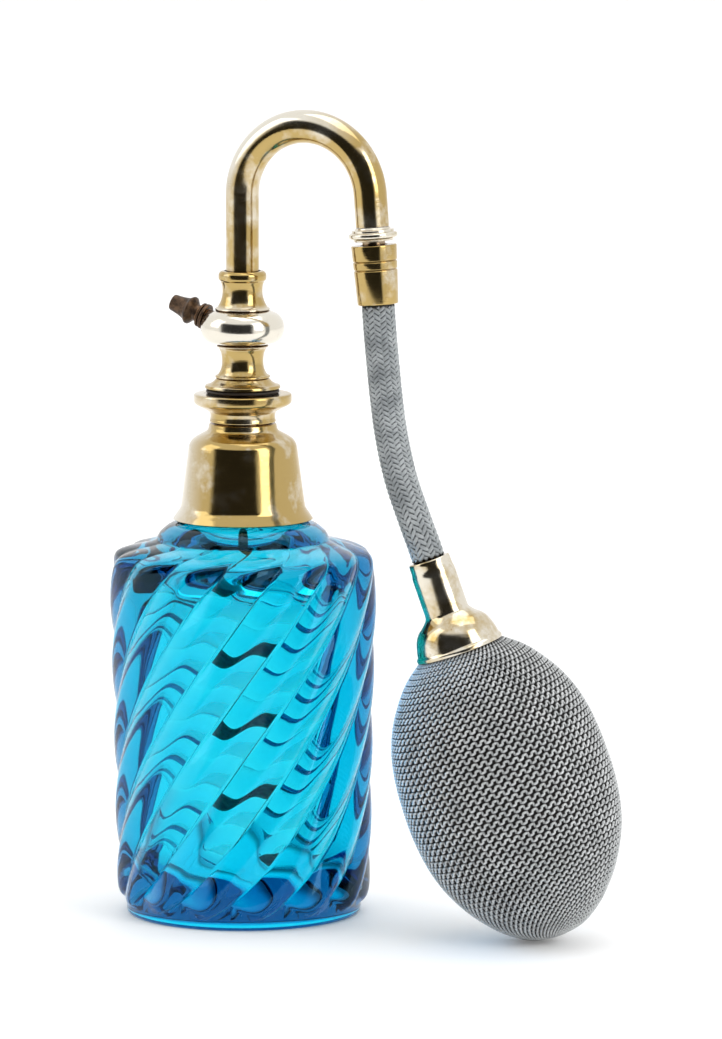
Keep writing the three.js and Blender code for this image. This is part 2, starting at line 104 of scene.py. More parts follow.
def make_camera():
    """A long lens, to the right of the front, looking slightly down on the middle of the object."""
    right = Vector((math.cos(VIEW_AZIMUTH), math.sin(VIEW_AZIMUTH), 0))
    target = right * VIEW_ACROSS + Vector((0, 0, VIEW_UP))
    back = Vector((math.sin(VIEW_AZIMUTH), -math.cos(VIEW_AZIMUTH), 0)) * math.cos(VIEW_ELEVATION)
    back.z = math.sin(VIEW_ELEVATION)
    data = bpy.data.cameras.new("camera")
    data.sensor_fit = "VERTICAL"
    data.sensor_height = SENSOR
    data.lens = SENSOR * VIEW_DISTANCE / VIEW_HEIGHT
    data.clip_end = 50
    camera = bpy.data.objects.new("camera", data)
    bpy.context.scene.collection.objects.link(camera)
    camera.location = target + back * VIEW_DISTANCE
    camera.rotation_euler = (-back).to_track_quat("-Z", "Y").to_euler()
    bpy.context.scene.camera = camera


make_camera()

# ---- Mesh helpers ----


def piece(name, points, faces, smooth_angle=35):
    """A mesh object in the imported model's frame, shaded smooth except at sharp corners."""
    mesh = bpy.data.meshes.new(name)
    mesh.from_pydata(np.asarray(points).tolist(), [], np.asarray(faces).tolist())
    mesh.update()
    mesh.shade_smooth()
    mesh.set_sharp_from_angle(angle=math.radians(smooth_angle))
    made = bpy.data.objects.new(name, mesh)
    bpy.context.scene.collection.objects.link(made)
    return made


def grid_faces(rows, columns, close_rows=False, close_columns=True):
    """Quads of a grid of points stored row by row."""
    i = np.arange(rows if close_rows else rows - 1)[:, None]
    j = np.arange(columns if close_columns else columns - 1)[None, :]
    down = (i + 1) % rows
    across = (j + 1) % columns
    corners = (i * columns + j, i * columns + across, down * columns + across, down * columns + j)
    return np.stack(np.broadcast_arrays(*corners), axis=-1).reshape(-1, 4)


def spline(points, steps):
    """A smooth Catmull-Rom line through a few points, with the given steps between neighbours."""
    p = np.array(points, float)
    ends = np.vstack([2 * p[0] - p[1], p, 2 * p[-1] - p[-2]])
    t = np.linspace(0, 1, steps, endpoint=False)[:, None]
    parts = []
    for a, b, c, d in zip(ends, ends[1:], ends[2:], ends[3:]):
        bend = (2 * a - 5 * b + 4 * c - d) * t**2 / 2
        parts.append(b + (c - a) * t / 2 + bend + (3 * b - a - 3 * c + d) * t**3 / 2)
    return np.vstack([*parts, p[-1:]])


def filleted(corners, steps=5):
    """An outline whose corners, given as (radius, height, fillet), are rounded."""
    corners = [np.array(c, float) for c in corners]
    line = [corners[0][:2]]
    for before, corner, after in zip(corners, corners[1:], corners[2:]):
        here = corner[:2]
        back = before[:2] - here
        ahead = after[:2] - here
        lengths = (np.linalg.norm(back), np.linalg.norm(ahead))
        reach = min(corner[2], 0.49 * lengths[0], 0.49 * lengths[1])
        if reach <= 0:
            line.append(here)
            continue
        start = here + back / lengths[0] * reach
        end = here + ahead / lengths[1] * reach
        for t in np.linspace(0, 1, steps):
            line.append((1 - t) ** 2 * start + 2 * t * (1 - t) * here + t**2 * end)
    line.append(corners[-1][:2])
    return np.array(line)


def placed(points, place=None):
    """Points in millimetres in a local frame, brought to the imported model's frame in metres."""
    points = np.asarray(points, float) * MM
    if place is None:
        return points
    matrix = np.array(place)
    return points @ matrix[:3, :3].T + matrix[:3, 3]


def turned(name, outline, place=None, segments=96):
    """A piece turned about its frame's Z. An outline that doesn't end on the axis closes on itself."""
    outline = np.asarray(outline, float)
    closed = outline[0, 0] > 0 or outline[-1, 0] > 0
    area = np.sum(outline[:, 0] * np.roll(outline[:, 1], -1) - np.roll(outline[:, 0], -1) * outline[:, 1])
    if area < 0:
        outline = outline[::-1]
    angle = np.linspace(0, 2 * math.pi, segments, endpoint=False)
    radius = outline[:, :1]
    height = outline[:, 1:]
    points = np.stack([radius * np.cos(angle), radius * np.sin(angle), height + 0 * angle], axis=-1)
    made = piece(name, placed(points.reshape(-1, 3), place), grid_faces(len(outline), segments, closed))
    if not closed:
        merge_poles(made)
    return made


def merge_poles(made):
    """Joins the points that lie together on the axis."""
    mesh = bmesh.new()
    mesh.from_mesh(made.data)
    bmesh.ops.remove_doubles(mesh, verts=mesh.verts, dist=1e-7)
    bmesh.ops.dissolve_degenerate(mesh, edges=mesh.edges, dist=1e-8)
    mesh.to_mesh(made.data)
    mesh.free()


def frames_along(path):
    """Tangents and two cross directions along a line, turned as little as possible at each step."""
    tangent = np.gradient(path, axis=0)
    tangent /= np.linalg.norm(tangent, axis=1)[:, None]
    side = np.zeros_like(tangent)
    side[0] = np.cross(tangent[0], [0, 1, 0])
    for i in range(len(path)):
        start = side[i - 1] if i else side[0]
        side[i] = start - tangent[i] * (start @ tangent[i])
        side[i] /= np.linalg.norm(side[i])
    return tangent, side, np.cross(tangent, side)


def tube_skin(path, radius, sides):
    """Points round a path, ring by ring. radius may change along the path."""
    _, side, other = frames_along(path)
    angle = np.linspace(0, 2 * math.pi, sides, endpoint=False)
    ring = side[:, None] * np.cos(angle)[:, None] + other[:, None] * np.sin(angle)[:, None]
    return path[:, None] + ring * np.reshape(radius, (-1, 1, 1))


def pipe(name, path, radius, bore, sides=48):
    """An open pipe along a path in metres, with its wall closed at both ends."""
    outside = tube_skin(path, radius, sides)
    inside = tube_skin(path, bore, sides)[::-1]
    skin = np.concatenate([outside, inside])
    return piece(name, skin.reshape(-1, 3), grid_faces(len(skin), sides, close_rows=True)[:, ::-1])


STRAND_SIDES = 6


def strand(path, width, thickness, normal, closed=False):
    """One thread: an oval section swept along an open or closed line, flat to the given normals."""
    if closed:
        tangent = np.roll(path, -1, axis=0) - np.roll(path, 1, axis=0)
    else:
        tangent = np.gradient(path, axis=0)
    tangent /= np.linalg.norm(tangent, axis=-1, keepdims=True)
    out = normal - tangent * np.sum(normal * tangent, axis=-1, keepdims=True)
    out /= np.linalg.norm(out, axis=-1, keepdims=True)
    across = np.cross(tangent, out)
    angle = np.linspace(0, 2 * math.pi, STRAND_SIDES, endpoint=False)
    return (
        path[:, None]
        + across[:, None] * (width * np.cos(angle))[:, None]
        + out[:, None] * (thickness * np.sin(angle))[:, None]
    )


def use(made, body, slot, finish, *nodes):
    """Rides on a body, takes a finish, and stands for the CAD nodes it replaces. The slot is not used."""
    if body:
        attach(made, body)
    made.data.materials.clear()
    made.data.materials.append(finish)
    if nodes:
        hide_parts(*nodes)
    return made


# ---- Hose: the route of its centre line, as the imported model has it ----

HOSE_ROUTE = [
    (29.8, 0, 123.55),
    (30.05, -0.02, 120.2),
    (30.4, -0.15, 116.9),
    (30.9, -0.5, 113.6),
    (31.55, -1.15, 110.3),
    (32.35, -2.1, 107),
    (33.35, -3.3, 103.7),
    (34.5, -4.7, 100.4),
    (35.85, -6.2, 97.1),
    (37.35, -7.7, 93.8),
    (39, -9.15, 90.5),
    (40.75, -10.4, 87.4),
    (42.4, -11.3, 84.4),
    (43.75, -11.75, 81.6),
    (44.8, -11.73, 79.1),
    (45.88, -11.41, 75.83),
]
HOSE_RADIUS = 3.25
BRAID_STRANDS = 16  # in each direction
BRAID_LEAD = 18.5  # length in which a strand goes once round
STRAND_WIDTH = 0.37
STRAND_THICKNESS = 0.24
STRAND_LIFT = 0.2
STRAND_DEPTH = 0.35  # of the middle of a strand under the outside
SLEEVE_DEPTH = 0.75
RUBBER_DEPTH = 0.85
RUBBER_BORE = 1.3

hose_line = spline(HOSE_ROUTE, 24) * MM


def lengths_along(line):
    """How far each point of a line lies from its start."""
    steps = np.linalg.norm(np.diff(line, axis=0), axis=1)
    return np.concatenate([[0], np.cumsum(steps)])


def braid_strand(index, direction):
    """A strand on a helix round the hose, over two and under two of the strands that cross it."""
    _, side, other = frames_along(hose_line)
    turn = lengths_along(hose_line) / MM * 2 * math.pi / BRAID_LEAD
    angle = 2 * math.pi * index / BRAID_STRANDS + direction * turn
    crossing = 2 * index + direction * turn * BRAID_STRANDS / math.pi
    lift = STRAND_LIFT * direction * np.sin(math.pi / 2 * crossing + math.pi / 4)
    out = side * np.cos(angle)[:, None] + other * np.sin(angle)[:, None]
    centre = hose_line + out * (HOSE_RADIUS - STRAND_DEPTH + lift)[:, None] * MM
    return strand(centre, STRAND_WIDTH * MM, STRAND_THICKNESS * MM, out)


def joined_skins(skins, **closing):
    """Points and faces of several skins, given as grids of points, in one mesh."""
    points, faces = [], []
    start = 0
    for skin in skins:
        rows, columns = skin.shape[:2]
        points.append(skin.reshape(-1, 3))
        faces.append(grid_faces(rows, columns, **closing) + start)
        start += rows * columns
    return np.vstack(points), np.vstack(faces)


def braided_hose(finish):
    """The woven cover: round strands over a thin sleeve, all in one mesh."""
    skins = [braid_strand(i, direction) for direction in (1, -1) for i in range(BRAID_STRANDS)]
    skins.append(tube_skin(hose_line, (HOSE_RADIUS - SLEEVE_DEPTH) * MM, 32))
    return use(piece("braid_cover", *joined_skins(skins), 80), None, "braid", finish, "hose_braid")


# ---- Gooseneck: the arch, which its worn gilding also follows ----

ARCH_RADIUS = 14.05
ARCH_LEG = 6.4  # from the end of the arch to the bead


def arch_height():
    """The height of the arch's centre, worked out from the end of the leg."""
    end = JOINTS["hose_swivel"]["pos_m"][2] / MM
    down = -Vector(JOINTS["hose_swivel"]["axis"])
    splay = math.atan2(down.x, -down.z)
    return end - down.z * ARCH_LEG - ARCH_RADIUS * math.sin(splay)


# ---- Materials ----


class Finish:
    """A material with its Principled shader, and short calls for the nodes that vary it."""

    def __init__(self, name, **values):
        self.material = bpy.data.materials.new(name)
        self.material.use_nodes = True
        self.tree = self.material.node_tree
        self.shader = self.tree.nodes["Principled BSDF"]
        self.where = self.add("ShaderNodeTexCoord").outputs["Object"]
        for key, value in values.items():
            self.shader.inputs[key.replace("_", " ").title().replace("Ior", "IOR")].default_value = value

    def add(self, kind, **settings):
        node = self.tree.nodes.new(kind)
        for key, value in settings.items():
            setattr(node, key, value)
        return node

    def wire(self, source, target):
        self.tree.links.new(source, target)

    def stretched(self, x, y, z):
        """Coordinates scaled by a different amount each way."""
        node = self.add("ShaderNodeMapping")
        node.inputs["Scale"].default_value = (x, y, z)
        self.wire(self.where, node.inputs["Vector"])
        return node.outputs["Vector"]

    def noise(self, scale, detail=3, roughness=0.55, where=None):
        node = self.add("ShaderNodeTexNoise")
        node.inputs["Scale"].default_value = scale
        node.inputs["Detail"].default_value = detail
        node.inputs["Roughness"].default_value = roughness
        self.wire(where or self.where, node.inputs["Vector"])
        return node.outputs["Fac"]

    def ramp(self, factor, *stops):
        """A colour ramp whose stops are (position, colour) or (position, grey)."""
        node = self.add("ShaderNodeValToRGB")
        elements = node.color_ramp.elements
        while len(elements) < len(stops):
            elements.new(0.5)
        for element, (position, colour) in zip(elements, stops):
            element.position = position
            element.color = (*colour, 1) if isinstance(colour, tuple) else (colour, colour, colour, 1)
        self.wire(factor, node.inputs["Fac"])
        return node.outputs["Color"]

    def blended(self, factor, first, second):
        node = self.add("ShaderNodeMix", data_type="RGBA")
        self.wire(factor, node.inputs["Factor"])
        for value, socket in ((first, node.inputs[6]), (second, node.inputs[7])):
            if isinstance(value, tuple):
                socket.default_value = (*value, 1)
            else:
                self.wire(value, socket)
        return node.outputs[2]

    def bump(self, height, strength, distance, before=None):
        node = self.add("ShaderNodeBump")
        node.inputs["Strength"].default_value = strength
        node.inputs["Distance"].default_value = distance
        self.wire(height, node.inputs["Height"])
        if before:
            self.wire(before, node.inputs["Normal"])
        return node.outputs["Normal"]

    def edges(self, radius, samples=6):
        """White where a convex edge is, from a bevelled normal against the true one."""
        bevel = self.add("ShaderNodeBevel", samples=samples)
        bevel.inputs["Radius"].default_value = radius
        geometry = self.add("ShaderNodeNewGeometry")
        product = self.add("ShaderNodeVectorMath", operation="DOT_PRODUCT")
        self.wire(bevel.outputs["Normal"], product.inputs[0])
        self.wire(geometry.outputs["Normal"], product.inputs[1])
        return self.ramp(product.outputs["Value"], (0.75, 1.0), (0.97, 0.0))

    def math(self, operation, first, second=0.0):
        node = self.add("ShaderNodeMath", operation=operation)
        for value, socket in ((first, node.inputs[0]), (second, node.inputs[1])):
            if isinstance(value, (int, float)):
                socket.default_value = value
            else:
                self.wire(value, socket)
        return node.outputs["Value"]

    def spread(self, value, start, end, first, last):
        """Falls or rises from first to last while the value goes from start to end."""
        node = self.add("ShaderNodeMapRange")
        for key, number in (("From Min", start), ("From Max", end), ("To Min", first), ("To Max", last)):
            node.inputs[key].default_value = number
        self.wire(value, node.inputs["Value"])
        return node.outputs["Result"]

    def position(self):
        """The three coordinates of the point that is shaded."""
        node = self.add("ShaderNodeSeparateXYZ")
        self.wire(self.where, node.inputs["Vector"])
        return node.outputs["X"], node.outputs["Y"], node.outputs["Z"]

    def between(self, low, high, fade):
        """White between two heights, in metres."""
        away = self.math("ABSOLUTE", self.math("SUBTRACT", self.position()[2], (low + high) / 2))
        reach = (high - low) / 2
        return self.spread(away, reach, reach + fade, 1, 0)

    def outside_of_bend(self, centre, height, radius, fade):
        """White on the outer side of a half circle in the XZ plane and of the legs below it."""
        x, _, z = self.position()
        across = self.math("SUBTRACT", x, centre)
        above = self.math("MAXIMUM", self.math("SUBTRACT", z, height), 0)
        squares = self.math("ADD", self.math("MULTIPLY", across, across), self.math("MULTIPLY", above, above))
        return self.spread(self.math("SQRT", squares), radius, radius + fade, 0, 1)

    def hollowness(self, distance):
        """Dark in creases and beside other pieces, white in the open."""
        node = self.add("ShaderNodeAmbientOcclusion", samples=6)
        node.inputs["Distance"].default_value = distance
        return node.outputs["AO"]

    def set(self, socket, source):
        self.wire(source, self.shader.inputs[socket])


def glass_finish():
    """Turquoise glass that deepens to blue where the light's way through it is long."""
    glass = Finish("turquoise_glass", base_color=(1, 1, 1, 1), roughness=0.0, ior=1.5, transmission_weight=1)
    glass.shader.inputs["Specular Tint"].default_value = (0.3, 0.7, 1, 1)
    glass.set("Normal", glass.bump(glass.noise(55, 2), 0.1, 0.002))
    depth = glass.add("ShaderNodeVolumeAbsorption")
    depth.inputs["Color"].default_value = (0.0, 0.868, 0.932, 1)
    depth.inputs["Density"].default_value = 420
    glass.wire(depth.outputs["Volume"], glass.tree.nodes["Material Output"].inputs["Volume"])
    return glass.material


def gilt_finish(name, wear=0.04, worn_area=None):
    """Thin gilding over pale brass, worn through in patches and in the area that a function may give."""
    gilt = Finish(name, metallic=1, roughness=0.2)
    patches = gilt.noise(170, 4, 0.6)
    worn = gilt.ramp(patches, (0.56 - wear, 0.0), (0.8 - wear, 0.8))
    if worn_area:
        worn = gilt.blended(worn_area(gilt), worn, (0.88, 0.88, 0.88))
    shade = gilt.blended(worn, (0.46, 0.33, 0.125), (0.78, 0.75, 0.67))
    spots = gilt.ramp(gilt.noise(700, 5, 0.75), (0.63, 0.0), (0.74, 0.85))
    hollows = gilt.ramp(gilt.hollowness(0.0011), (0.45, 1.0), (0.8, 0.0))
    stained = gilt.blended(spots, shade, (0.33, 0.2, 0.09))
    gilt.set("Base Color", gilt.blended(hollows, stained, (0.2, 0.11, 0.04)))
    lines = gilt.noise(1, 2, where=gilt.stretched(60, 60, 5200))
    scratches = gilt.noise(1, 3, where=gilt.stretched(2600, 500, 700))
    gilt.set("Roughness", gilt.ramp(patches, (0.3, 0.09), (0.75, 0.2)))
    gilt.set("Normal", gilt.bump(scratches, 0.06, 0.0001, gilt.bump(lines, 0.07, 0.0001)))
    return gilt.material


def head_foot():
    """The height at which the head stands on its washer."""
    return bottom_of("sealing_washer") + 0.75


def chamber_wear(gilt):
    """The bulge of the head, where fingers hold it."""
    foot = head_foot() * MM
    return gilt.between(foot + 9 * MM, foot + 15.8 * MM, 1.2 * MM)


def bend_wear(gilt):
    """The outer side of the gooseneck."""
    spring = arch_height() * MM
    outside = gilt.outside_of_bend(ARCH_RADIUS * MM, spring, (ARCH_RADIUS + 0.2) * MM, 1.4 * MM)
    x, _, z = gilt.position()
    before_leg = gilt.spread(x, 15 * MM, 26 * MM, 1, 0)
    above_pipe = gilt.spread(z, spring - 4 * MM, spring + 6 * MM, 0.1, 1)
    return gilt.math("MULTIPLY", outside, gilt.math("MULTIPLY", before_leg, above_pipe))


def side_wear(gilt):
    """The nozzle's side of the collar."""
    return gilt.spread(gilt.position()[0], -3 * MM, -11 * MM, 0, 1)


def bronze_finish():
    """Nearly black patina, worn to orange metal on the edges."""
    bronze = Finish("patinated_bronze", metallic=0.9, roughness=0.45)
    grime = bronze.noise(900, 5, 0.7)
    patina = bronze.ramp(grime, (0.35, (0.035, 0.024, 0.018)), (0.65, (0.14, 0.085, 0.05)))
    bronze.set("Base Color", bronze.blended(bronze.edges(0.00035), patina, (0.85, 0.42, 0.16)))
    bronze.set("Roughness", bronze.ramp(bronze.noise(500, 4), (0.35, 0.3), (0.7, 0.6)))
    bronze.set("Normal", bronze.bump(bronze.noise(2600, 4), 0.35, 0.0002))
    return bronze.material


def steel_finish():
    steel = Finish("polished_steel", metallic=1)
    clouds = steel.noise(900, 3)
    steel.set("Base Color", steel.ramp(clouds, (0.3, (0.6, 0.61, 0.63)), (0.7, (0.75, 0.76, 0.78))))
    steel.set("Roughness", steel.ramp(steel.noise(1500, 3), (0.3, 0.12), (0.7, 0.3)))
    return steel.material


def soft_finish(name, dark, light, grain, roughness, depth):
    """A matt material with a fine grain: rubber, leather, cork or plaster."""
    soft = Finish(name, roughness=roughness)
    speckle = soft.noise(grain, 5, 0.65)
    soft.set("Base Color", soft.ramp(speckle, (0.35, dark), (0.7, light)))
    soft.set("Roughness", soft.ramp(speckle, (0.3, roughness - 0.12), (0.7, roughness + 0.08)))
    soft.set("Normal", soft.bump(speckle, 0.5, depth))
    return soft.material


def thread_finish(name, dark, light, grime_and_shade):
    """Spun thread: fine fibres, paler and darker lengths, grimy fibres, and painted shade in the gaps between
    the strands.
    """
    thread = Finish(name, roughness=0.55)
    fibres = thread.noise(4200, 3, 0.6)
    shade = thread.ramp(thread.noise(260, 3, 0.5), (0.3, dark), (0.7, light))
    grimy = thread.blended(thread.ramp(fibres, (0.35, 0.0), (0.7, 0.3)), shade, grime_and_shade)
    # Painted shade: the gaps between the strands are darkened towards the last colour.
    painted_gap_shade = thread.ramp(thread.hollowness(0.0011), (0.35, 1.0), (0.85, 0.0))
    thread.set("Base Color", thread.blended(painted_gap_shade, grimy, grime_and_shade))
    thread.set("Normal", thread.bump(fibres, 0.5, 0.00012))
    return thread.material


GLASS = glass_finish()
GILT = gilt_finish("gilt_brass")
HEAD_GILT = gilt_finish("head_gilt_brass", worn_area=chamber_wear)
COLLAR_GILT = gilt_finish("collar_gilt_brass", worn_area=side_wear)
BEND_GILT = gilt_finish("bend_gilt_brass", wear=0.08, worn_area=bend_wear)
PALE_GILT = gilt_finish("worn_gilt_brass", wear=0.24)
BRONZE = bronze_finish()
STEEL = steel_finish()
RUBBER = soft_finish("moulded_rubber", (0.018, 0.016, 0.015), (0.045, 0.04, 0.037), 1800, 0.7, 0.0002)
LEATHER = soft_finish("oiled_leather", (0.012, 0.009, 0.007), (0.05, 0.035, 0.025), 1500, 0.6, 0.0003)
CORK = soft_finish("pressed_cork", (0.22, 0.12, 0.06), (0.5, 0.33, 0.19), 900, 0.9, 0.0004)
PLASTER = soft_finish("set_cement", (0.55, 0.51, 0.42), (0.76, 0.73, 0.65), 700, 0.9, 0.0003)
# The last colour of each thread is its grime and the painted shade between its strands.
BRAID = thread_finish("braid_thread", (0.28, 0.305, 0.315), (0.5, 0.53, 0.54), (0.025, 0.03, 0.033))
YARN = thread_finish("net_yarn", (0.52, 0.54, 0.545), (0.74, 0.76, 0.765), (0.035, 0.032, 0.028))

# ---- Hose pieces ----

braid_cover = braided_hose(BRAID)
rubber_hose = use(
    pipe("rubber_hose", hose_line, (HOSE_RADIUS - RUBBER_DEPTH) * MM, RUBBER_BORE * MM, 24),
    None,
    "rubber",
    RUBBER,
    "hose_rubber",
)
for hose in (braid_cover, rubber_hose):
    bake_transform(hose)

# ---- Glass bottle ----

LOBES = 14
TWIST = math.radians(1.8)  # per millimetre along the outside
GROOVE = 1.6
GROOVE_PHASE = math.radians(6.6)
RIDGE = 0.22  # half width of the narrow crown of a lobe, as a share of the lobe
RIDGE_SHARE = 0.55  # of the groove's depth that comes from the narrow crown
LOBE_COLUMNS = 20


def lobe_section(columns):
    """How far each column lies in the grooves: 0 on a lobe's narrow crown, 1 in the groove beside it."""
    across = (np.arange(columns) * LOBES / columns) % 1 * 2 - 1
    ridge = (np.hypot(across, RIDGE) - RIDGE) / (math.hypot(1, RIDGE) - RIDGE)
    return (1 - RIDGE_SHARE) * across**2 + RIDGE_SHARE * ridge


def glass_rows():
    """Rows up the outside and down the inside, and the twist of each row.

    A row is (radius, height, groove depth, lift of the row at the grooves).
    """
    body = radius_of("glass_bottle") - 0.05
    neck_top = top_of("glass_bottle")
    shoulder = neck_top - 18
    foot = filleted([(0, 0, 0), (body - 3.1, 0, 1.2), (body - 3, 2, 0), (body - 2.9, 2.2, 0)])
    ends = [
        (body - 2.5, 2.4, 0.4, 2.6),
        (body - 1.8, 3.3, 1.1, 2.5),
        (body - 1.35, 4.9, GROOVE, 2),
    ]
    lobes = [
        (body - 1.15, 7.4, GROOVE, 1.2),
        (body - 1, 12, GROOVE, 0.3),
        (body - 0.8, 24, GROOVE, 0),
        (body - 0.5, 43, GROOVE, 0),
        (body - 0.05, 58, GROOVE, 0),
        (body, 65, GROOVE, 0),
        (body - 0.05, 69, GROOVE, 0),
        (body - 0.35, 71.3, GROOVE, 0),
        (body - 1.3, shoulder - 2.8, GROOVE * 0.95, 0),
        (body - 3.4, shoulder - 1.8, GROOVE * 0.85, 0),
        (body - 6.4, shoulder - 1, GROOVE * 0.6, 0),
        (body - 9, shoulder - 0.2, GROOVE * 0.25, 0),
    ]
    lobed = spline([*ends, *lobes], 9)
    ledge = filleted(
        [(body - 9.3, shoulder, 0), (body - 10, shoulder + 1.4, 0.8), (body - 11.8, shoulder + 2.8, 0.8),
         (body - 13, shoulder + 3.2, 0.5), (9.2, shoulder + 3.3, 0.6), (9.2, neck_top, 0.6),
         (6.8, neck_top, 0.6), (6.8, shoulder + 1, 0)]
    )
    inside = spline(
        [(6.8, shoulder + 1), (8.2, shoulder - 1.6), (13.5, shoulder - 4.4), (18.4, shoulder - 7.4),
         (20.1, shoulder - 12), (20, shoulder - 30), (19.7, 20), (19.4, 14), (18, 10.4), (15, 8.8),
         (8, 8.5), (0, 8.4)],
        6,
    )
    smooth_rows = [np.column_stack([line, np.zeros((len(line), 2))]) for line in (foot, ledge, inside[1:])]
    rows = np.vstack([smooth_rows[0], lobed, *smooth_rows[1:]])
    lobe_twist = TWIST * lengths_along(lobed[:, :2])
    after = np.full(len(ledge) + len(inside) - 1, lobe_twist[-1])
    twist = np.concatenate([np.zeros(len(foot)), lobe_twist, after])
    return rows, twist


def glass_bottle():
    columns = LOBES * LOBE_COLUMNS
    rows, twist = glass_rows()
    groove = lobe_section(columns)[None, :]
    radius = rows[:, :1] - rows[:, 2:3] * groove
    height = rows[:, 1:2] + rows[:, 3:4] * groove
    angle = np.arange(columns)[None, :] * 2 * math.pi / columns + twist[:, None] + GROOVE_PHASE
    points = np.stack([radius * np.cos(angle), radius * np.sin(angle), height], axis=-1)
    made = piece("glass_body", placed(points.reshape(-1, 3)), grid_faces(len(rows), columns), 60)
    merge_poles(made)
    return use(made, "bottle", "glass", GLASS, "glass_bottle")


glass_bottle()

# ---- Collar, bush and washer ----


def bell_collar():
    rim = radius_of("bell_collar")
    low = bottom_of("bell_collar")
    top = top_of("bell_collar")
    skirt = spline(
        [(rim, low + 0.25), (rim - 0.55, low + 1.1), (rim - 1.35, low + 2.3), (rim - 1.65, low + 3.6),
         (rim - 2.1, low + 6.8), (rim - 2.6, low + 10.6), (rim - 3.1, low + 14.4)],
        6,
    )
    crown = spline(
        [(rim - 3.1, low + 14.4), (rim - 3.35, low + 15.3), (rim - 4.1, low + 16.3), (rim - 5.6, low + 17.2),
         (rim - 6.9, low + 18), (6.75, top - 0.2)],
        5,
    )
    outside = np.vstack([[(rim - 0.3, low)], skirt, crown[1:], [(6.5, top), (5.9, top)]])
    inside = [(5.9, top - 2), (rim - 6.4, top - 2.6), (rim - 4.2, low + 15), (rim - 3.8, low + 14),
              (rim - 2.4, low + 4), (rim - 1.9, low + 2.2), (rim - 0.8, low + 0.3)]
    made = turned("collar_bell", np.vstack([outside, inside]), segments=160)
    return use(made, "bottle", "brass", COLLAR_GILT, "bell_collar")


def threaded_bush():
    disc = radius_of("threaded_bush")
    low = bottom_of("threaded_bush")
    top = top_of("threaded_bush")
    shoulder = top_of("bell_collar") + 0.3
    outline = filleted(
        [(4.8, low, 0), (7.6, low, 0.2), (7.6, low + 1, 0.2), (5.6, low + 1, 0), (5.6, shoulder, 0),
         (6.7, shoulder, 0.25), (6.45, shoulder + 0.9, 0.6), (6.6, shoulder + 2, 0.8),
         (8.3, shoulder + 2.9, 0.5), (disc - 0.5, shoulder + 3.4, 0.4), (disc, shoulder + 3.9, 0.35),
         (disc, top - 0.1, 0.5), (disc - 0.8, top, 0.4), (4.8, top, 0.2), (4.8, low, 0)]
    )[:-1]
    made = turned("bush_and_disc", outline, segments=144)
    return use(made, "bottle", "brass", COLLAR_GILT, "threaded_bush")


def sealing_washer():
    low = bottom_of("sealing_washer")
    top = top_of("sealing_washer")
    outer = radius_of("sealing_washer")
    outline = filleted(
        [(4.8, (low + top) / 2, 0), (4.8, low, 0.2), (outer, low, 0.25), (outer, top, 0.25),
         (4.8, top, 0.2), (4.8, (low + top) / 2, 0)]
    )[:-1]
    return use(turned("leather_washer", outline), "washer", "leather", LEATHER, "sealing_washer")


bell_collar()
threaded_bush()
sealing_washer()

# ---- Head ----


BEAD_PROUD = 0.3


def bead(radius, height, width):
    """A small half-round bead on a turned outline, from its lower to its upper edge."""
    angle = np.linspace(-math.pi / 2, math.pi / 2, 7)
    return [(radius + BEAD_PROUD * math.cos(a), height + width / 2 * math.sin(a)) for a in angle]


def head_outline():
    """The turned outside from the foot to the socket's ring, with its beads, then the bore."""
    foot = head_foot()
    top = top_of("head_body")
    low = bottom_of("head_body")
    spigot = [(1.3, low), (4.1, low), (4.5, low + 0.5), (4.5, foot)]
    flange = [(7.3, foot), (7.55, foot + 0.2), (7.55, foot + 0.5)]
    lower = spline([(7.4, foot + 0.75), (6.6, foot + 1), (5.85, foot + 1.5), (5.3, foot + 2.1)], 4)
    waist = spline(
        [(4.9, foot + 2.9), (4.35, foot + 4), (4.15, foot + 5.4), (4.3, foot + 7), (4.8, foot + 8.2)], 5
    )
    chamber = spline(
        [(5.5, foot + 9), (7.1, foot + 9.5), (8.05, foot + 10.6), (8.35, foot + 12.1),
         (8.05, foot + 13.7), (7.1, foot + 14.9), (5.6, foot + 15.6)],
        5,
    )
    stem = spline(
        [(5, foot + 16.4), (4.45, foot + 17.4), (4.05, foot + 18.9), (4.05, foot + 20.4),
         (4.35, foot + 21.5)],
        4,
    )
    ring = filleted(
        [(4.35, foot + 21.5, 0), (4.8, foot + 21.9, 0.3), (4.8, foot + 23, 0.3), (4.3, top, 0.3),
         (3.6, top, 0)]
    )
    bore = [(3.6, top - 4.5), (2.3, top - 4.5), (2.3, foot + 16.6), (5.7, foot + 13.8), (5.7, foot + 10.2),
            (1.3, foot + 8)]
    return np.vstack([
        spigot, flange, lower, bead(5.2, foot + 2.45, 0.55), waist, bead(4.9, foot + 8.55, 0.5),
        chamber, bead(5.2, foot + 16, 0.5), stem, ring, bore,
    ])


def screw_thread(name, radius, low, high, pitch, depth):
    """A ridge on a helix, fading into the core at both ends."""
    turns = (high - low) / pitch
    t = np.linspace(0, 1, int(turns * 48))
    angle = t * turns * 2 * math.pi
    fade = np.clip(np.minimum(t, 1 - t) * turns * 2, 0, 1)
    out = np.stack([np.cos(angle), np.sin(angle), 0 * angle], axis=-1)
    up = np.array([0, 0, 1.0])
    base = out * radius + up * (low + t * (high - low))[:, None]
    section = [(-0.3, -0.42 * pitch), (1, -0.08 * pitch), (1, 0.08 * pitch), (-0.3, 0.42 * pitch)]
    skin = np.stack([base + out * (r * depth * fade)[:, None] + up * h for r, h in section], axis=1)
    return piece(name, placed(skin.reshape(-1, 3)), grid_faces(len(t), len(section)), 50)


def head_body():
    made = turned("atomizer_head", head_outline(), segments=144)
    use(made, "head", "brass", HEAD_GILT, "head_body")
    low = bottom_of("head_body")
    thread = screw_thread("head_thread", 4.5, low + 0.6, low + 4.6, pitch=1, depth=0.22)
    use(thread, "head", "brass", GILT)


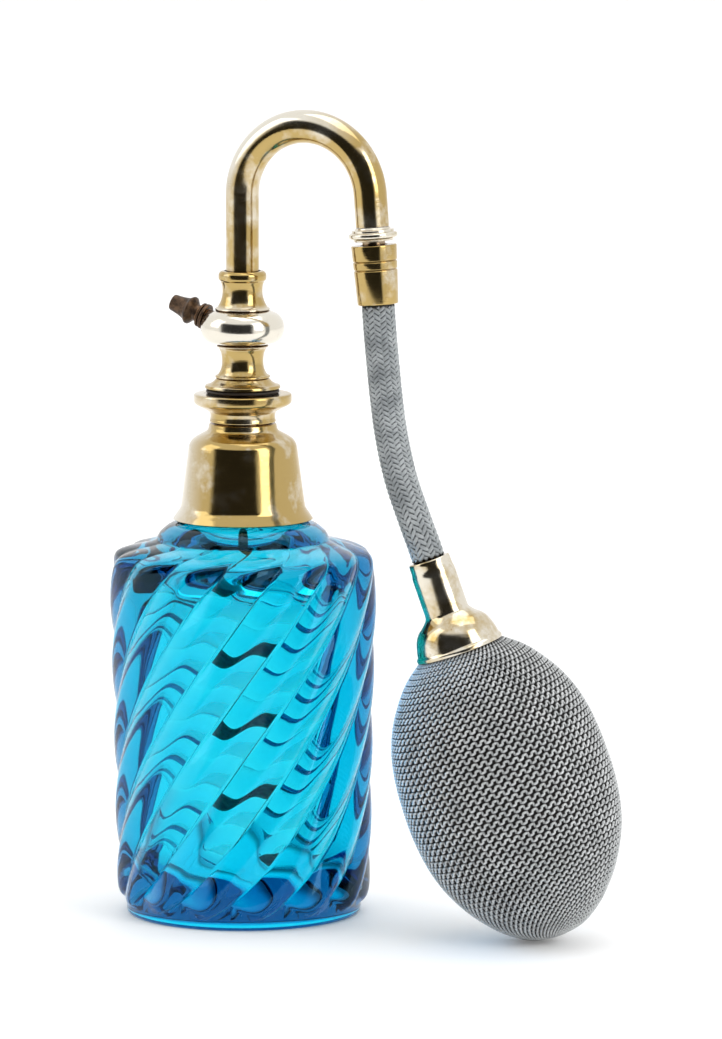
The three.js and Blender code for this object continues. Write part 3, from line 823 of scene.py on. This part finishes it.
def gooseneck():
    """The bent pipe: up, over a half circle and down the splayed leg to the bead."""
    top = top_of("head_body")
    end = Vector(JOINTS["hose_swivel"]["pos_m"]) / MM
    down = -Vector(JOINTS["hose_swivel"]["axis"])
    splay = math.atan2(down.x, -down.z)
    spring = arch_height()
    angle = np.linspace(0, math.pi - splay, 60)
    across = ARCH_RADIUS * (1 - np.cos(angle))
    height = spring + ARCH_RADIUS * np.sin(angle)
    path = np.vstack([
        [(0, 0, top - 4.2 + i * (spring - top + 4.2) / 6) for i in range(6)],
        np.stack([across, 0 * angle, height], axis=-1),
        [np.array(end) + np.array(down) * ARCH_LEG * (i / 4 - 1) for i in range(1, 5)],
    ])
    made = pipe("gooseneck", path * MM, 3.3 * MM, 2.3 * MM, 64)
    return use(made, "head", "brass", BEND_GILT, "gooseneck_tube")


head_body()
gooseneck()

# ---- Dip tube, nozzle ----


def dip_tube():
    low = bottom_of("dip_tube")
    top = top_of("dip_tube")
    outline = [(0.5, low), (0.9, low), (1, low + 0.1), (1, top - 0.1), (0.9, top), (0.5, top)]
    return use(turned("dip_pipe", outline, segments=40), "dip", "bronze", BRONZE, "dip_tube")


def nozzle_pieces():
    """Seat on the chamber, washer and flared tip, along the nozzle's own axis."""
    place = axis_of("nozzle_turn")
    seat = filleted(
        [(1.1, 7, 0), (1.7, 7, 0), (1.7, 8.5, 0), (2.6, 8.5, 0.15), (2.6, 9.2, 0.2), (1.4, 9.2, 0.1),
         (1.3, 12.2, 0.1), (1.1, 12.2, 0), (1.1, 7, 0)]
    )[:-1]
    use(turned("spray_seat", seat, place, 64), "head", "bronze", BRONZE, "nozzle_seat")
    washer = filleted(
        [(1.5, 9.7, 0), (1.5, 9.35, 0.05), (2.5, 9.45, 0.2), (2.5, 9.95, 0.2), (1.5, 10.05, 0.05),
         (1.5, 9.7, 0)]
    )[:-1]
    use(turned("spray_washer", washer, place, 64), "nozzle_ring", "bronze", BRONZE, "nozzle_washer")
    flare = spline([(2.75, 12.5), (2.3, 13.1), (1.95, 14.2), (1.75, 15.4), (1.7, 15.9)], 5)
    base = filleted(
        [(1.5, 10.2, 0), (1.7, 10.2, 0.05), (1.7, 11, 0.2), (2.85, 12, 0.15), (2.85, 12.35, 0.1),
         (2.75, 12.5, 0)]
    )
    mouth = filleted(
        [(1.7, 15.9, 0), (1.6, 16.5, 0.2), (0.8, 16.4, 0.1), (0.4, 15.8, 0.1), (0.4, 15.2, 0),
         (1.5, 14.2, 0), (1.5, 10.2, 0)]
    )[:-1]
    tip = turned("spray_tip", np.vstack([base, flare[1:], mouth[1:]]), place, 72)
    use(tip, "nozzle", "bronze", BRONZE, "nozzle_tip")


dip_tube()
nozzle_pieces()

# ---- Hose end of the gooseneck ----


SLEEVE_TOP = -3.6
SLEEVE_LENGTH = 11.8
SCORE = 0.22  # depth and half width of a scored line


def sleeve_radius(down):
    """The sleeve tapers from its top to its lower edge."""
    return 4.55 - 0.5 * down / SLEEVE_LENGTH


def scored_line(down):
    """The corners of a line scored round the sleeve."""
    radius = sleeve_radius(down)
    height = SLEEVE_TOP - down
    return [(radius, height + SCORE, 0.05), (radius - SCORE, height, 0.05), (radius, height - SCORE, 0.05)]


def hose_nipple(place):
    outline = filleted(
        [(1.3, -6, 0), (1.3, -0.15, 0.1), (3.35, -0.1, 0.1), (3.6, -0.5, 0.1), (4.2, -0.6, 0.2),
         (4.2, -1.05, 0.1), (4.85, -1.3, 0.3), (4.85, -2.1, 0.3), (4.0, -2.45, 0.2), (4.0, -2.8, 0.1),
         (2.3, -2.8, 0.1), (2.3, -12, 0.2), (1.3, -12, 0.1), (1.3, -6, 0)]
    )[:-1]
    use(turned("nipple_bead", outline, place), "head", "brass", PALE_GILT, "hose_nipple")


def hose_ferrule(place):
    foot = SLEEVE_TOP - SLEEVE_LENGTH
    outline = filleted(
        [(2.7, SLEEVE_TOP - 5, 0), (2.7, SLEEVE_TOP, 0.1), (sleeve_radius(0), SLEEVE_TOP, 0.25),
         *scored_line(3.2), *scored_line(4.9),
         (sleeve_radius(SLEEVE_LENGTH), foot, 0.35), (2.7, foot, 0.1), (2.7, SLEEVE_TOP - 5, 0)]
    )[:-1]
    use(turned("hose_sleeve", outline, place), "hose", "brass", GILT, "hose_ferrule")


hose_nipple(axis_of("hose_swivel"))
hose_ferrule(axis_of("hose_swivel"))

# ---- Bulb ----

BULB_AXIS = Vector(JOINTS["bulb_squeeze"]["axis"])
BULB_PLACE = axis_of("bulb_squeeze", Vector(hose_line[-1]) - BULB_AXIS * 0.35 * MM)
FERRULE_LENGTH = 18.9
WALES = 66  # pairs of stitches round the bulb
COURSE = 1.32  # from one course of yarn to the next
COURSE_SHIFT = 0.14  # of each course along itself, as a share of a pair of stitches
NET_YARN = 0.26  # half the yarn's thickness
NET_DEPTH = 0.45  # of the middle of the yarn under the outside
STITCH_SAMPLES = 12


def bulb_ferrule():
    neck = filleted(
        [(3.1, 0, 0), (4.05, 0, 0.25), (4.2, -0.6, 0.3), (4.2, -2, 0.4), (4.4, -3, 0.4), (4.4, -10.4, 0)]
    )
    cup = spline(
        [(4.4, -10.4), (4.55, -11.2), (5.4, -12.2), (6.7, -13.3), (7.55, -14.6), (8.1, -16.2),
         (8.45, -17.8)],
        5,
    )
    low = -FERRULE_LENGTH
    rim = filleted(
        [(8.45, -17.8, 0), (8.8, -18.2, 0.2), (8.8, low, 0.2), (8.0, low, 0.1), (7.4, -16.2, 0.5),
         (6.4, -14, 0.5), (4.2, -12.6, 0.5), (3.1, -11, 0), (3.1, 0, 0.1)]
    )
    outline = np.vstack([neck, cup[1:], rim[1:-1]])
    return use(turned("bulb_cup", outline, BULB_PLACE, 112), "bulb", "brass", PALE_GILT, "bulb_ferrule")


def bulb_line(inset=0.0):
    """The bulb's outline from the ferrule's rim to its tail, moved square to itself by inset."""
    down = -FERRULE_LENGTH - 0.1
    shape = [(8.5, 0), (12.4, 3.1), (15.4, 6.7), (18.1, 11.2), (20.1, 17), (21, 24), (21.05, 32),
             (20.2, 38.5), (18.5, 44), (15.6, 49.4), (12.2, 53.7), (9.2, 56.4), (5.8, 58.4), (1.4, 59.4)]
    line = spline([(radius - NET_DEPTH, down - along) for radius, along in shape], 14)
    along = np.gradient(line, axis=0)
    along /= np.linalg.norm(along, axis=1)[:, None]
    return line + np.column_stack([along[:, 1], -along[:, 0]]) * inset


def evenly(line, spacing):
    """The same line with its points a fixed length apart, and its directions there."""
    along = lengths_along(line)
    count = int(along[-1] / spacing)
    wanted = (np.arange(count) + 0.5) * along[-1] / count
    even = np.column_stack([np.interp(wanted, along, line[:, k]) for k in (0, 1)])
    tangent = np.gradient(even, axis=0)
    tangent /= np.linalg.norm(tangent, axis=1)[:, None]
    return even, tangent


def knitted_course(index, point, direction):
    """One wavy course: a low stitch, a step up, a high stitch, and a dive to the next low one."""
    count = WALES * STITCH_SAMPLES
    phase = (np.arange(count) % STITCH_SAMPLES) / STITCH_SAMPLES
    climb = np.interp(phase, [0, 0.44, 0.5, 0.94, 1], [-0.32, -0.2, 0.2, 0.32, -0.32]) * COURSE
    lift = np.interp(phase, [0, 0.2, 0.46, 0.7, 0.9, 0.96, 1], [-0.15, 0.2, 0.05, 0.2, -0.15, -0.3, -0.15])
    angle = (np.arange(count) / STITCH_SAMPLES + COURSE_SHIFT * index) / WALES * 2 * math.pi
    around = np.column_stack([np.cos(angle), np.sin(angle)])
    radius = point[0] - direction[0] * climb - direction[1] * lift
    height = point[1] - direction[1] * climb + direction[0] * lift
    normal = np.column_stack([-direction[1] * around, np.full(count, direction[0])])
    path = np.column_stack([radius[:, None] * around, height])
    return strand(path, NET_YARN, NET_YARN, normal, closed=True)


def knitted_net(part, first, last):
    """A run of courses, in one mesh."""
    points, directions = evenly(bulb_line(), COURSE)
    courses = [knitted_course(i, points[i], directions[i]) for i in range(first, last)]
    yarn, faces = joined_skins(courses, close_rows=True)
    return use(piece(part, placed(yarn, BULB_PLACE), faces, 80), "bulb", "net", YARN, "bulb_net")


def rubber_bulb():
    outside = bulb_line(0.75)[:-6]
    inside = bulb_line(2.8)[4:-14]
    neck = [(4.2, -14.3), (5.4, -14.3), (6.9, -17)]
    tail = [(3.5, outside[-1][1]), (3.5, inside[-1][1])]
    outline = np.vstack([neck, outside, tail, inside[::-1], [(4.2, -22)]])
    return use(turned("bulb_skin", outline, BULB_PLACE, 96), "bulb", "rubber", RUBBER, "bulb_rubber")


bulb_ferrule()
course_count = len(evenly(bulb_line(), COURSE)[0])
soft_bulb = [
    knitted_net("net_upper", 0, course_count // 2),
    knitted_net("net_lower", course_count // 2, course_count),
    rubber_bulb(),
]
for soft in soft_bulb:
    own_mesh(soft)

# ---- CAD nodes that keep their own shape ----

KEPT = {
    "collar_cement": PLASTER,
    "neck_gasket": CORK,
    "jet_tube": STEEL,
    "bulb_nipple": GILT,
    "outlet_valve_seat": GILT,
    "outlet_valve_ball": STEEL,
    "inlet_valve_body": GILT,
    "inlet_valve_cap": GILT,
    "inlet_valve_ball": STEEL,
}
for node, finish in KEPT.items():
    NODES[node].data.materials.clear()
    NODES[node].data.materials.append(finish)

# ---- Floor and light ----

FLOOR_FRONT = 0.45
FLOOR_BACK = 6
FLOOR_SIDE = 5
FLOOR_GLOW = 0.14
# Painted light: the floor glows brighter under the glass bottle.
PAINTED_LIGHT_UNDER_GLASS = 0.48
PAINTED_LIGHT_EDGE = (0.017, 0.021)  # distances from the bottle's axis between which the painted light under the bottle fades to the floor's even glow
ROOM_LIGHT = 1.08
DOOR_HEADING = -16  # degrees to the camera's left
DOOR_WIDTH = 0.66  # sine of half the angle that the dark doorway takes up
DOOR_HEIGHT = 0.56
DOOR_THROUGH_GLASS = (0.0, 0.26, 0.5, 1)
CAST_PLACE = (0.03, -0.012, 0.047)
CAST_AIM = (1, -0.1, -0.12)
CAST_WIDTH = 0.034
CAST_HEIGHT = 0.06
CAST_SPREAD = math.radians(90)
CAST_COLOUR = (0.0, 0.42, 0.9)
CAST_POWER = 0.013


def floor():
    """A pale, evenly glowing sheet that ends a little way in front of the bottle, on the camera's side, with
    a painted pool of light under the glass.
    """
    toward = Vector((math.sin(VIEW_AZIMUTH), -math.cos(VIEW_AZIMUTH), 0))
    across = Vector((math.cos(VIEW_AZIMUTH), math.sin(VIEW_AZIMUTH), 0))
    reaches = [(-FLOOR_SIDE, FLOOR_FRONT), (FLOOR_SIDE, FLOOR_FRONT),
               (FLOOR_SIDE, -FLOOR_BACK), (-FLOOR_SIDE, -FLOOR_BACK)]
    corners = [tuple(toward * y + across * x) for x, y in reaches]
    made = piece("floor", corners, [(0, 1, 2, 3)])
    pale = Finish("pale_floor", roughness=0.6)
    pale.set("Base Color", pale.ramp(pale.noise(3, 2), (0.3, (0.9, 0.9, 0.9)), (0.7, (0.93, 0.93, 0.93))))
    pale.shader.inputs["Emission Color"].default_value = (1, 1, 1, 1)
    x, y, _ = pale.position()
    squares = pale.math("ADD", pale.math("MULTIPLY", x, x), pale.math("MULTIPLY", y, y))
    from_bottle = pale.math("SQRT", squares)
    # Painted light: the floor glows brighter under the glass bottle, standing in for the light that comes
    # through the glass.
    pale.set("Emission Strength", pale.spread(from_bottle, *PAINTED_LIGHT_EDGE, PAINTED_LIGHT_UNDER_GLASS, FLOOR_GLOW))
    made.data.materials.append(pale.material)


def area_lamp(name, place, facing, width, height, power):
    """A rectangular lamp at a place, turned to face a direction."""
    light = bpy.data.lights.new(name, "AREA")
    light.shape = "RECTANGLE"
    light.size = width
    light.size_y = height
    light.energy = power
    lamp = bpy.data.objects.new(name, light)
    bpy.context.scene.collection.objects.link(lamp)
    lamp.location = place
    lamp.rotation_euler = Vector(facing).to_track_quat("-Z", "Y").to_euler()
    return lamp


def softbox(name, place, aim, width, height, power):
    area_lamp(name, place, Vector(aim) - Vector(place), width, height, power)


def blue_cast():
    """The blue light that the bottle throws on the bulb, from a small hidden lamp beside the glass."""
    lamp = area_lamp("blue_cast", CAST_PLACE, CAST_AIM, CAST_WIDTH, CAST_HEIGHT, CAST_POWER)
    lamp.data.color = CAST_COLOUR
    lamp.data.spread = CAST_SPREAD
    lamp.visible_camera = False
    lamp.visible_glossy = False
    lamp.visible_transmission = False


def room():
    """A white room. What the pieces reflect from the camera's side is a dark doorway."""
    world = bpy.data.worlds.new("room")
    bpy.context.scene.world = world
    world.use_nodes = True
    tree = world.node_tree
    where = tree.nodes.new("ShaderNodeTexCoord").outputs["Generated"]

    def math_node(operation, first, second=None):
        node = tree.nodes.new("ShaderNodeMath")
        node.operation = operation
        for value, socket in ((first, node.inputs[0]), (second, node.inputs[1])):
            if isinstance(value, (int, float)):
                socket.default_value = value
            elif value is not None:
                tree.links.new(value, socket)
        return node.outputs["Value"]

    def along(direction):
        node = tree.nodes.new("ShaderNodeVectorMath")
        node.operation = "DOT_PRODUCT"
        node.inputs[1].default_value = direction
        tree.links.new(where, node.inputs[0])
        return node.outputs["Value"]

    def inside(value, reach, fade):
        """1 while the value's size is under reach, falling to 0 over fade."""
        node = tree.nodes.new("ShaderNodeMapRange")
        for key, number in (("From Min", reach), ("From Max", reach + fade), ("To Min", 1), ("To Max", 0)):
            node.inputs[key].default_value = number
        tree.links.new(math_node("ABSOLUTE", value), node.inputs["Value"])
        return node.outputs["Result"]

    heading = VIEW_AZIMUTH + math.radians(DOOR_HEADING)
    toward = Vector((math.sin(heading), -math.cos(heading), 0))
    across = Vector((math.cos(heading), math.sin(heading), 0))
    within_width = inside(along(across), DOOR_WIDTH, 0.1)
    within_height = inside(along((0, 0, 1)), DOOR_HEIGHT, 0.12)
    door = math_node("MULTIPLY", within_width, within_height)
    door = math_node("MULTIPLY", door, math_node("GREATER_THAN", along(toward), 0))
    path = tree.nodes.new("ShaderNodeLightPath")
    door = math_node("MULTIPLY", door, math_node("SUBTRACT", 1, path.outputs["Is Camera Ray"]))
    tint = tree.nodes.new("ShaderNodeMix")
    tint.data_type = "RGBA"
    tint.inputs[6].default_value = (0.03, 0.03, 0.03, 1)
    tint.inputs[7].default_value = DOOR_THROUGH_GLASS
    tree.links.new(path.outputs["Is Transmission Ray"], tint.inputs["Factor"])
    colour = tree.nodes.new("ShaderNodeMix")
    colour.data_type = "RGBA"
    colour.inputs[6].default_value = (1, 1, 1, 1)
    tree.links.new(door, colour.inputs["Factor"])
    tree.links.new(tint.outputs[2], colour.inputs[7])
    tree.links.new(colour.outputs[2], tree.nodes["Background"].inputs["Color"])
    tree.nodes["Background"].inputs["Strength"].default_value = ROOM_LIGHT


bpy.context.scene.view_settings.view_transform = "Standard"
floor()
softbox("left_window", (-1.6, -0.9, 1.2), (0, 0, 0.08), 1.2, 1.6, 7)
softbox("right_window", (1.9, -0.6, 1.0), (0, 0, 0.08), 0.9, 1.6, 14)
softbox("top_light", (0.2, 0.3, 2.2), (0, 0, 0), 1.6, 1.6, 10)
room()
blue_cast()
